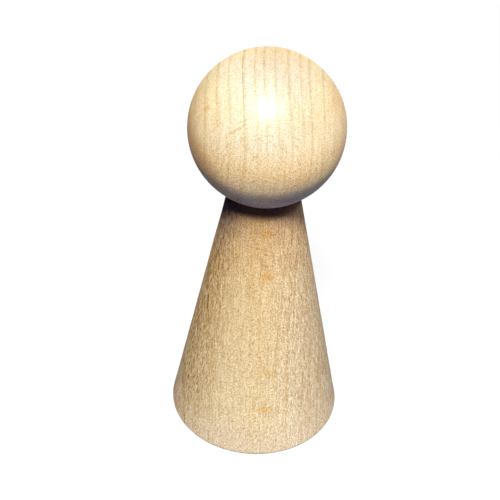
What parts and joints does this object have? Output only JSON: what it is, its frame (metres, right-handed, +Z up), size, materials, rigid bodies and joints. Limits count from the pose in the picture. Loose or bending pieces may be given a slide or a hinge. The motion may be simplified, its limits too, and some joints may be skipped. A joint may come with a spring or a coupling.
{
  "type": "peg doll",
  "caption": "Plain turned wooden peg doll: a ball head dowelled and glued onto a tapering cone body with a flat foot.",
  "frame": {"origin": "centre of the flat foot, on the surface that the doll stands on", "axes": "+Z up along the doll's axis, from foot to crown; -Y is the side that faces the camera; X is across the growth rings"},
  "size_m": [0.037, 0.037, 0.085],
  "materials": {
    "body_beech": "fine sanded, bare",
    "head_beech": "fine sanded, satin",
    "dowel_beech": "as milled",
    "wood_glue": "cured, translucent cream"
  },
  "bodies": {
    "root": {"body_cone": "body_beech", "head_ball": "head_beech", "dowel_pin": "dowel_beech", "glue_film": "wood_glue"}
  },
  "joints": []
}
